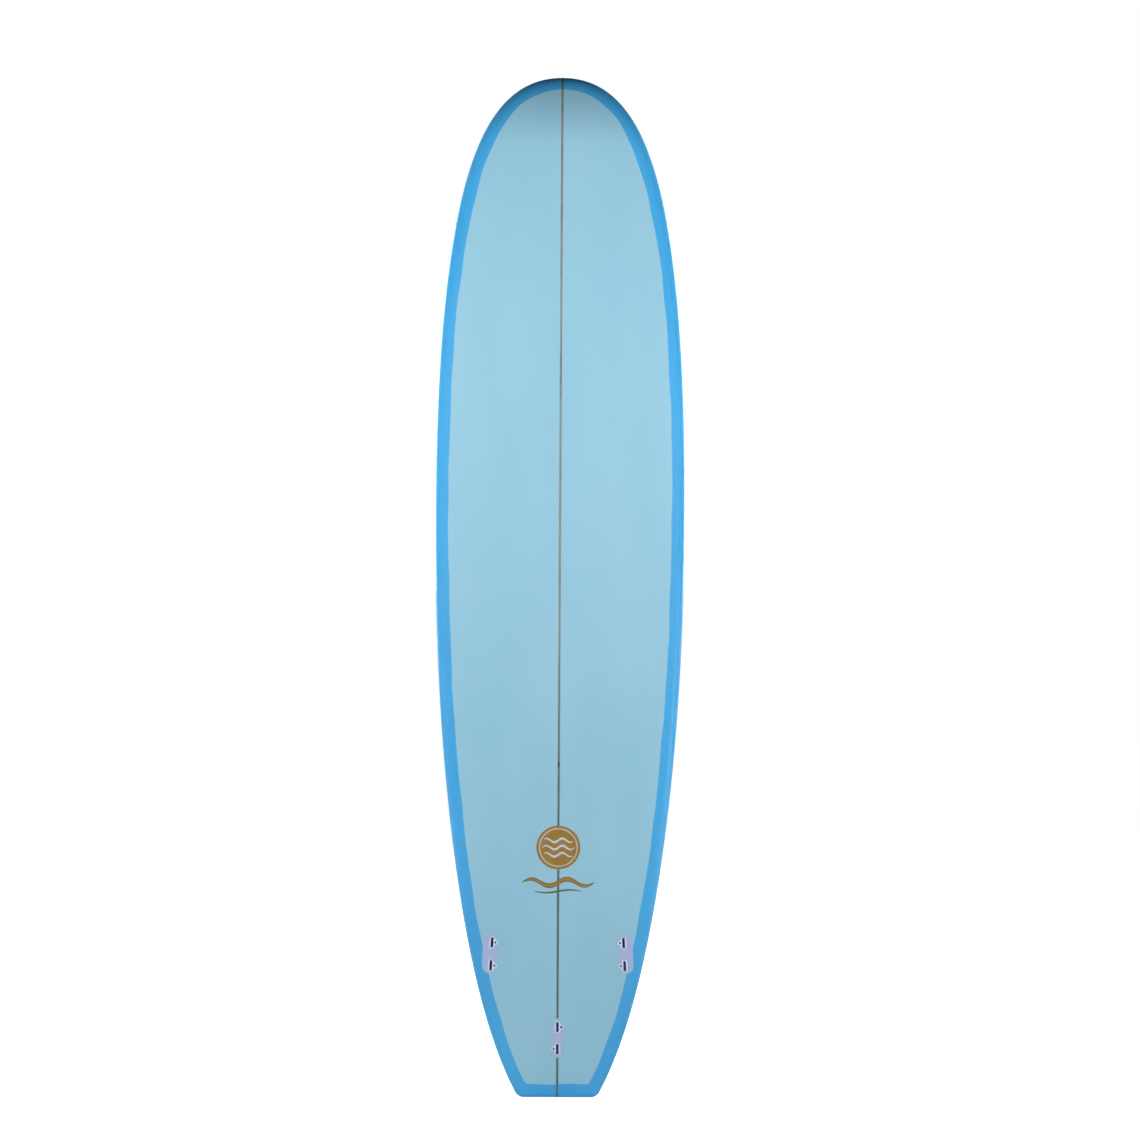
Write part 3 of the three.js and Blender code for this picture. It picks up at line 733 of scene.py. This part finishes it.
def moulded_look(name, colour, stain, roughness):
    """Moulded plastic: fine texture, a slight stain in random patches and paler sharp outer edges."""
    look = Look(name, Roughness=roughness, IOR=1.49)
    cloud = look.noise(160, detail=3)
    # Paler towards the sharp outer edges.
    pale_edge_mask = look.spread(look.node("NewGeometry").outputs["Pointiness"], 0.5, 0.6, 0, 0.5)
    stained = look.mix(look.spread(cloud, 0.35, 0.7, 0, 0.35), colour, stain)
    look.set("Base Color", look.mix(pale_edge_mask, stained, srgb(236, 240, 250)))
    fine = look.noise(900, detail=2)
    look.set("Roughness", look.spread(fine, 0.3, 0.7, roughness - 0.06, roughness + 0.08))
    look.set("Normal", look.bump(fine, 0.02 * MM, 0.3))
    return look.material


def metal_look(name, colour, roughness, stretch=(1, 1, 1)):
    """Machined metal: fine tool lines, drawn out by stretch, and a slight stain."""
    look = Look(name, Metallic=1.0, Roughness=roughness)
    lines = look.noise(1500, stretch, 2)
    stain = look.noise(300, detail=3)
    deep = (colour[0] * 0.6, colour[1] * 0.6, colour[2] * 0.62, 1)
    look.set("Base Color", look.mix(look.spread(stain, 0.4, 0.75, 0, 0.6), colour, deep))
    look.set("Roughness", look.spread(lines, 0.3, 0.7, roughness - 0.08, roughness + 0.1))
    look.set("Normal", look.bump(lines, 0.01 * MM, 0.35))
    return look.material


def ink_look(name, colour, dark, metal=0.25):
    """Print under the gloss coat: slight unevenness of the ink and, in the gold, metallic flakes."""
    look = Look(name, Metallic=metal, Roughness=0.42, **COAT)
    patchy = look.noise(45, detail=4, rough=0.6)
    flakes = look.noise(2600, detail=1)
    ink = look.mix(look.spread(patchy, 0.35, 0.7, 0, 0.6), colour, dark)
    bright = tuple(min(1, 1.5 * v + 0.02) for v in colour[:3]) + (1,)
    look.set("Base Color", look.mix(look.spread(flakes, 0.66, 0.74, 0, 0.35), ink, bright))
    look.set("Roughness", look.spread(flakes, 0.4, 0.7, 0.46, 0.32))
    return look.material


def foam_look(name):
    """Shaped foam: off-white with open cells cut by sanding, the cells' pits darkened as painted shade.
    """
    look = Look(name, Roughness=0.92, IOR=1.4)
    cells = look.node("TexVoronoi", {"Vector": look.point(), "Scale": 1300.0}).outputs["Distance"]
    tone = look.noise(12, detail=4)
    base = look.mix(look.spread(tone, 0.3, 0.7, 0, 1), srgb(246, 243, 232), srgb(236, 230, 212))
    # painted shade: the foam is darker towards the middle of each cell, where the bump makes its pits
    look.set("Base Color", look.mix(look.spread(cells, 0.1, 0.5, 0.18, 0), base, srgb(205, 196, 172)))
    look.set("Normal", look.bump(cells, 0.15 * MM, 0.6))
    return look.material


def wood_look(name):
    """Bare stringer wood: long bands with fine dark grain."""
    look = Look(name, Roughness=0.6, IOR=1.45)
    grain = look.noise(420, (1, 1, 0.015), 4)
    bands = look.noise(30, (1, 1, 0.06), 2)
    base = look.mix(look.spread(bands, 0.35, 0.65, 0, 1), srgb(190, 160, 118), srgb(158, 124, 84))
    look.set("Base Color", look.mix(look.spread(grain, 0.45, 0.7, 0, 0.7), base, srgb(110, 80, 52)))
    look.set("Normal", look.bump(grain, 0.05 * MM, 0.4))
    return look.material


PANEL_TINT = srgb(151, 200, 222)
BAND_TINT = srgb(68, 171, 229)
PATCH_TINTS = srgb(171, 186, 224), srgb(148, 198, 220)

LOOKS = {
    "panel": resin_look("laminate_panel_look", PANEL_TINT, srgb(145, 196, 218)),
    "band": resin_look("laminate_lap_look", BAND_TINT, srgb(62, 163, 223)),
    "deck": resin_look("laminate_deck_look", PANEL_TINT, srgb(145, 196, 218)),
    "line": stringer_look("stringer_line_look", srgb(134, 144, 150), srgb(82, 106, 116), knot_z=0.796),
    "line_rail": stringer_look("stringer_line_rail_look", srgb(84, 104, 98), srgb(66, 122, 162)),
    "glue": glue_look("glue_line_look", srgb(172, 196, 190)),
    "glue_rail": glue_look("glue_line_rail_look", srgb(90, 158, 200)),
    "left_patch": patch_look("left_patch_look", *PATCH_TINTS, 1),
    "right_patch": patch_look("right_patch_look", *PATCH_TINTS, -1),
    "centre_patch": patch_look("centre_patch_look", *PATCH_TINTS, 0),
    "plug": moulded_look("plug_look", srgb(214, 222, 244), srgb(186, 196, 224), 0.36),
    # painted shade: the slot's walls get darker blue plastic than the plug, standing for the shade deep
    # inside the slot
    "slot": moulded_look("slot_painted_shade_look", srgb(140, 150, 205), srgb(115, 125, 185), 0.5),
    "screw": metal_look("set_screw_look", srgb(70, 72, 84), 0.38),
    "cup": moulded_look("leash_cup_look", srgb(226, 230, 238), srgb(196, 202, 214), 0.36),
    "bar": metal_look("leash_bar_look", srgb(200, 203, 208), 0.16, (0.05, 1, 1)),
    "gold": ink_look("gold_print_look", srgb(178, 137, 66), srgb(160, 120, 58)),
    "pale_ink": ink_look("pale_print_look", srgb(190, 212, 214), srgb(172, 198, 202), 0.0),
    "gold_edge": ink_look("gold_edge_look", srgb(112, 112, 52), srgb(96, 96, 46)),
    "foam": foam_look("foam_look"),
    "wood": wood_look("stringer_wood_look"),
}


# ---- Assembly -------------------------------------------------------------------------------------


def facing(x, z, deck):
    """A frame on the centre of the bottom or deck: z out of the board, y towards the nose."""
    y = surface_y(x, z, deck)[0]
    d = 5 * MM
    slope = (surface_y(x, z + d, deck)[0] - surface_y(x, z - d, deck)[0]) / (2 * d)
    out = Vector((0, -1, slope)).normalized() * (-1 if deck else 1)
    up = Vector((0, slope, 1)).normalized()
    return frame_at(Vector((x, y, z)), up.cross(out), out)


def copy_of(obj, name):
    made = obj.copy()
    made.data = obj.data.copy()
    made.name = name
    bpy.context.scene.collection.objects.link(made)
    return made


def share(obj, tool, name):
    """The part of obj inside tool, as a new object."""
    return boolean(copy_of(obj, name), [tool], "INTERSECT")


def slab(name, x_low, x_high):
    """A block from x_low to x_high that spans the board."""
    place = Matrix.Identity(4)
    outline = [(x_low, -0.5), (x_high, -0.5), (x_high, 0.5), (x_low, 0.5)]
    return prism(name, outline, -0.5, LENGTH + 0.5, place)


def join(name, objects):
    """Several objects as one; all have the same material."""
    bm = bmesh.new()
    for obj in objects:
        bm.from_mesh(obj.data)
    mesh = bpy.data.meshes.new(name)
    bm.to_mesh(mesh)
    bm.free()
    made = bpy.data.objects.new(name, mesh)
    bpy.context.scene.collection.objects.link(made)
    mesh.shade_smooth()
    mesh.set_sharp_from_angle(angle=math.radians(30))
    remove(objects)
    return made


def piece(obj, look, body="board", stands_for=()):
    if look and not obj.data.materials:
        obj.data.materials.append(LOOKS[look])
    if stands_for:
        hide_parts(*stands_for)
    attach(obj, body)
    return obj


def in_frame(obj, place):
    """Gives obj the frame place, with its points where they were, so that its material follows it."""
    obj.data.transform(place.inverted())
    obj.matrix_world = place
    return obj


def ripple(y, half, height, swing, turns=2.0, steps=48):
    """A tapered wave-shaped stroke about y."""
    rows = []
    for side in (-1, 1):
        row = []
        for i in range(steps + 1):
            s = 2 * i / steps - 1
            reach = height / 2 * math.sqrt(1.02 - s * s)
            row.append((half * s, y + swing * math.sin(math.pi * turns * s) + side * reach))
        rows += row if side < 0 else row[::-1]
    return rows


def print_badge(panel, place):
    """A round badge in the panel: a gold disc, with a fine ring and three plain waves in pale ink."""
    disc = prism("disc", arc(0, 0, BADGE_R, 0, 357, 119), -THROUGH, THROUGH, place)
    ring = prism("ring", arc(0, 0, BADGE_RING, 0, 357, 119), -2 * THROUGH, 2 * THROUGH, place)
    hub_r = BADGE_RING - BADGE_RING_WIDTH
    hub = prism("hub", arc(0, 0, hub_r, 0, 357, 119), -3 * THROUGH, 3 * THROUGH, place)
    boolean(ring, [hub])
    pale = [ring]
    for y in WAVES:
        half = math.sqrt((BADGE_RING - WAVE_MARGIN) ** 2 - y * y)
        outline = ripple(y, half, WAVE_HEIGHT, WAVE_SWING, 2.0 * half / WAVE_STEP)
        pale.append(prism("wave", outline, -2 * THROUGH, 2 * THROUGH, place))
    gold = share(panel, disc, "badge_print")
    light = join("badge_waves", [share(gold, tool, "light") for tool in pale])
    boolean(gold, pale)
    boolean(panel, [disc])
    remove([disc, hub, *pale])
    piece(gold, "gold", stands_for=["badge_decal"])
    piece(light, "pale_ink")


def print_stroke(panel, place):
    """A plain wave-shaped stroke in gold with a dark edge, and a thin dark line below it."""
    whole = prism("stroke", ripple(0, STROKE_HALF, STROKE_HEIGHT, STROKE_SWING), -THROUGH, THROUGH, place)
    half = STROKE_HALF - 4 * STROKE_EDGE
    inside = ripple(0, half, STROKE_HEIGHT - 2 * STROKE_EDGE, STROKE_SWING, 2.0 * half / STROKE_HALF)
    middle = prism("middle", inside, -2 * THROUGH, 2 * THROUGH, place)
    edge = share(panel, whole, "wave_edge_print")
    gold = share(edge, middle, "wave_print")
    boolean(edge, [middle])
    boolean(panel, [whole])
    line = ripple(UNDERLINE_Y, UNDERLINE_HALF, UNDERLINE_HEIGHT, UNDERLINE_SWING, 1.0)
    under = prism("under", line, -THROUGH, THROUGH, place)
    underline = share(panel, under, "wave_underline_print")
    boolean(panel, [under])
    remove([whole, middle, under])
    piece(underline, "gold_edge")
    piece(gold, "gold", stands_for=["wave_decal"])
    piece(edge, "gold_edge")


def build_skins():
    """The three skins, with openings for all that is let into them, and what fills those openings."""
    points, quads, groups = skin_grid()
    normals = point_normals(points, quads)
    panel = shell("bottom_panel", points, normals, quads[groups == PANEL])
    band = shell("rail_band", points, normals, quads[groups == BAND])
    deck = shell("deck_panel", points, normals, quads[groups == DECK])

    plugs = {name: plug_place(name) for name in PLUG_NAMES}
    tools = {
        name: prism("opening", plug_outline(OPENING_GAP), -THROUGH, THROUGH, place[0])
        for name, place in plugs.items()
    }
    low = (points[quads].mean(axis=1)[:, 2] < PLUGS_BELOW) & (groups != DECK)
    for side in ("left", "right", "centre"):
        front, rear = plugs[side + "_front"][0], plugs[side + "_rear"][0]
        out = (front.col[2] + rear.col[2]).to_3d().normalized()
        up = (front.translation - rear.translation).normalized()
        out = (out - up * out.dot(up)).normalized()
        place = frame_at((front.translation + rear.translation) / 2, up.cross(out), out)
        tool = prism("patch", stadium(PATCH_R, PATCH_HALF), -2 * THROUGH, 2 * THROUGH, place)
        filler = shell(side + "_resin_patch", points, normals, quads[low])
        boolean(filler, [tool], "INTERSECT")
        boolean(filler, [tools[side + "_front"], tools[side + "_rear"]])
        boolean(panel, [tool])
        if side != "centre":
            boolean(band, [tool])
        remove([tool])
        in_frame(filler, place)
        piece(filler, side + "_patch", stands_for=[side + "_plug_patch"])
    remove(list(tools.values()))

    leash = leash_place()
    hole = arc(0, 0, LEASH_R + OPENING_GAP, 0, 356, 89)
    opening = prism("opening", hole, -2 * THROUGH, 2 * THROUGH, leash)
    boolean(deck, [opening])
    remove([opening])

    print_badge(panel, facing(0, BADGE_Z, False))
    print_stroke(panel, facing(0, STROKE_Z, False))

    core = slab("core", -STRINGER / 2, STRINGER / 2)
    sides = [slab("side", s * STRINGER / 2, s * (STRINGER / 2 + GLUE)) for s in (-1, 1)]
    for skin, part in ((panel, "bottom"), (band, "rail"), (deck, "deck")):
        kind = "_rail" if part == "rail" else ""
        line = share(skin, core, "stringer_line_" + part)
        glue = join("glue_line_" + part, [share(skin, s, "glue") for s in sides])
        wide = slab("wide", -STRINGER / 2 - GLUE, STRINGER / 2 + GLUE)
        boolean(skin, [wide])
        remove([wide])
        piece(line, "line" + kind)
        piece(glue, "glue" + kind)
    remove([core, *sides])
    piece(panel, "panel", stands_for=["bottom_laminate"])
    piece(band, "band", stands_for=["deck_laminate"])
    piece(deck, "deck", stands_for=["deck_laminate"])
    return plugs, leash


plug_frames, leash_frame = build_skins()
for name, (place, inwards) in plug_frames.items():
    piece(make_plug(name, place, LOOKS), None, stands_for=[name + "_plug"])
    screw = make_screw(name, place, inwards, LOOKS)
    piece(screw, None, name + "_clamp", [name + "_screw"])
cup, bar = make_leash_cup(leash_frame, LOOKS)
piece(cup, None, stands_for=["leash_cup"])
piece(bar, None, stands_for=["leash_bar"])

for name, look in (("foam_core_left", "foam"), ("foam_core_right", "foam"), ("stringer", "wood")):
    node = frame["nodes"][name]
    for entry in node.material_slots:
        entry.link = "OBJECT"
        entry.material = LOOKS[look]


# ---- Floor, light and camera ----------------------------------------------------------------------

FLOOR_R, FLOOR_GLOW = 14, 1.0
# How bright the world is behind the board against in front of it.
BEHIND = 0.5
# The lamps on the right; the left has the same ones mirrored. Each has its name, its place, the height it
# aims at on the board's axis, its size, its watts, its spread, and whether gloss shows it.
FRONT_LAMP = (3.2, -1.92, 0.5)
LAMPS = (
    ("front_upper", FRONT_LAMP, 2.35, (1.2, 0.8), 23.4, 65, False),
    ("front_lower", FRONT_LAMP, -0.56, (1.2, 0.8), 10, 58, False),
    ("back", (3.3, 3.2, 2.2), 1.3, (2.6, 2.2), 130, 180, True),
)

def floor_look():
    """Pale matt floor that reads as white to the camera and adds no light of its own to the board."""
    look = Look("floor_look", Roughness=0.9, Specular_IOR_Level=0.1)
    tone = look.noise(3, detail=3)
    pale = look.spread(tone, 0.3, 0.7, 0.72, 0.68)
    look.set("Base Color", look.node("CombineColor", {0: pale, 1: pale, 2: pale}).outputs[0])
    look.shader.inputs["Emission Color"].default_value = (1, 1, 1, 1)
    seen = look.node("LightPath").outputs["Is Camera Ray"]
    look.set("Emission Strength", look.maths("MULTIPLY", seen, FLOOR_GLOW))
    return look.material


floor = prism("floor", arc(0, 0, FLOOR_R, 0, 355, 71), -0.05, 0, Matrix.Identity(4))
floor.data.materials.append(floor_look())


def make_world():
    """White to the camera. As light it is bright in front, half as bright behind, dark overhead."""
    world = bpy.data.worlds.new("studio")
    bpy.context.scene.world = world
    world.use_nodes = True
    tree = world.node_tree
    tree.nodes.clear()

    def new(kind, inputs=(), **settings):
        made = tree.nodes.new("ShaderNode" + kind)
        for key, value in settings.items():
            setattr(made, key, value)
        for key, value in dict(inputs).items():
            if isinstance(value, bpy.types.NodeSocket):
                tree.links.new(value, made.inputs[key])
            else:
                made.inputs[key].default_value = value
        return made.outputs

    way = new("SeparateXYZ", {0: new("TexCoord")["Generated"]})
    front = new("Math", {0: way[1], 1: -1.0}, operation="MULTIPLY")[0]
    behind = new("Math", {0: way[1], 1: BEHIND}, operation="MULTIPLY")[0]
    ahead = new("Math", {0: front, 1: behind}, operation="MAXIMUM")[0]
    facing_it = {"Value": ahead, "From Min": 0.1, "From Max": 0.95, "To Min": 0.1, "To Max": 0.95}
    level = new("MapRange", facing_it, interpolation_type="SMOOTHSTEP")[0]
    rise = {"Value": way[2], "From Min": -0.1, "From Max": 0.45, "To Min": 1.0, "To Max": 0.0}
    dim = new("MapRange", rise, interpolation_type="SMOOTHSTEP")[0]
    strength = new("Math", {0: level, 1: dim}, operation="MULTIPLY")[0]
    lit = new("Background", {"Strength": strength})[0]
    seen = new("Background", {"Color": (1, 1, 1, 1)})[0]
    pick = new("MixShader", {0: new("LightPath")["Is Camera Ray"], 1: lit, 2: seen})[0]
    new("OutputWorld", {"Surface": pick})


def area_light(name, at, aim, size, watts, spread, glossy):
    """A rectangular lamp that the camera doesn't see."""
    data = bpy.data.lights.new(name, "AREA")
    data.shape = "RECTANGLE"
    data.size, data.size_y = size
    data.energy = watts
    data.spread = math.radians(spread)
    light = bpy.data.objects.new(name, data)
    bpy.context.scene.collection.objects.link(light)
    light.location = at
    light.rotation_mode = "QUATERNION"
    light.rotation_quaternion = (Vector(aim) - Vector(at)).to_track_quat("-Z", "Y")
    light.visible_camera = False
    light.visible_glossy = glossy


make_world()
for side in (-1, 1):
    for name, (x, y, z), aim_z, size, watts, spread, glossy in LAMPS:
        area_light(name, (side * x, y, z), (0, 0, aim_z), size, watts, spread, glossy)

EYE_X, EYE_Z, EYE_BACK, LENS, LEAN = 0.024, 1.2548, 6.5, 86.2, math.radians(0.31)
camera = bpy.data.objects.new("camera", bpy.data.cameras.new("camera"))
bpy.context.scene.collection.objects.link(camera)
camera.data.lens = LENS
camera.data.sensor_width = 36
camera.data.clip_end = 100
camera.matrix_world = frame_at(
    Vector((EYE_X, -EYE_BACK, EYE_Z)), Vector((math.cos(LEAN), 0, math.sin(LEAN))), Vector((0, -1, 0))
)
bpy.context.scene.camera = camera
bpy.context.scene.view_settings.view_transform = "Standard"
